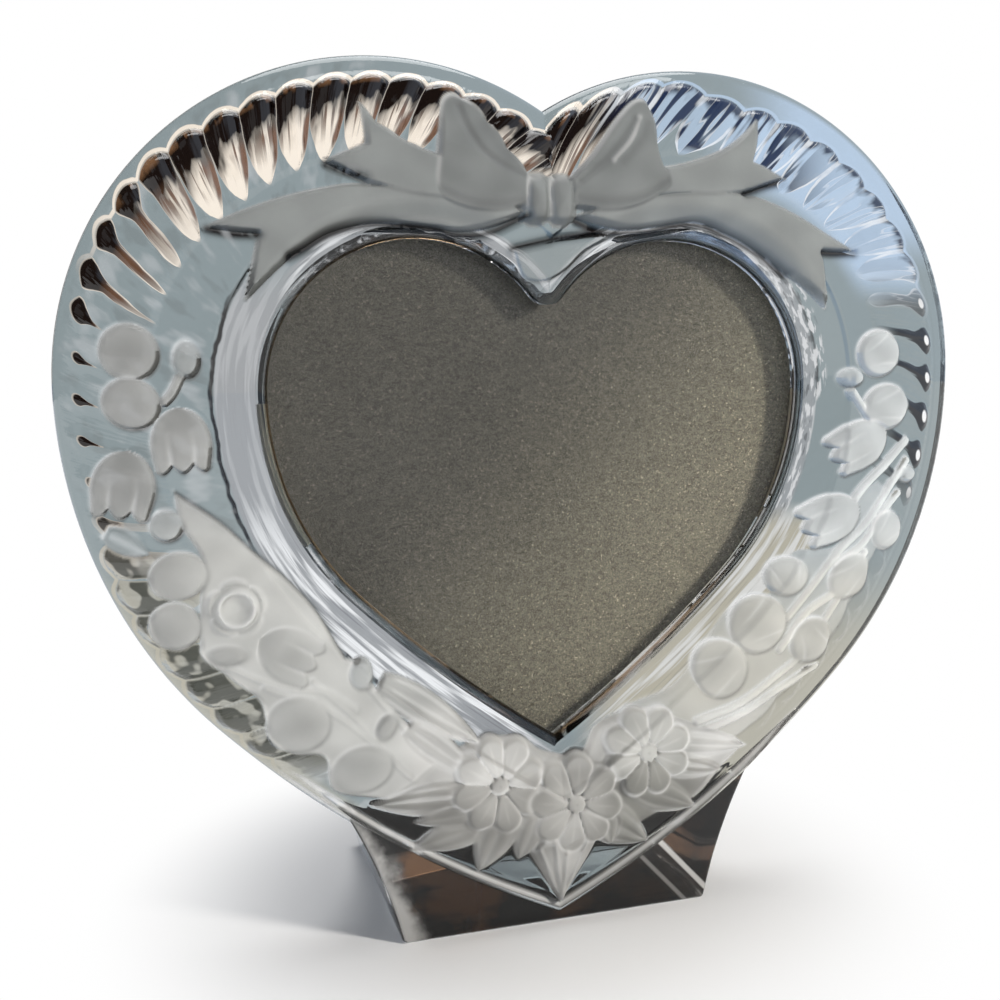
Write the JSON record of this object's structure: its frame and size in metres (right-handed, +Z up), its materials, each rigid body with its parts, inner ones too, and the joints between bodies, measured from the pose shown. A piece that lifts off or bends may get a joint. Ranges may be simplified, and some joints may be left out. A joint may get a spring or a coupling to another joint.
{
  "type": "heart shaped photo frame",
  "caption": "Free-standing heart shaped photo frame of pressed clear glass with a cast foot, slanting rim flutes, a satin bow and flower relief, and a push-in back panel.",
  "frame": {"origin": "on the table, under the middle of the frame's bounding box", "axes": "+X to the right seen from the front, +Y towards the back, +Z up"},
  "size_m": [0.169, 0.054, 0.1574],
  "materials": {
    "crystal": "clear gloss, satin on the raised ornament",
    "clear_cover": "clear",
    "flock": "fibrous, matt",
    "greyboard": "raw",
    "spring_steel": "rolled strip",
    "velvet": "short pile"
  },
  "bodies": {
    "glass": {"crystal_frame": "crystal", "photo_cover": "clear_cover"},
    "back_panel": {"front_lining": "flock", "backing_board": "greyboard", "spring_strip": "spring_steel", "velvet_back": "velvet"}
  },
  "joints": [
    {"name": "back_panel_slide", "type": "slide", "parent": "glass", "child": "back_panel", "axis": [0, 1, 0], "range_m": [0, 0.05]}
  ]
}
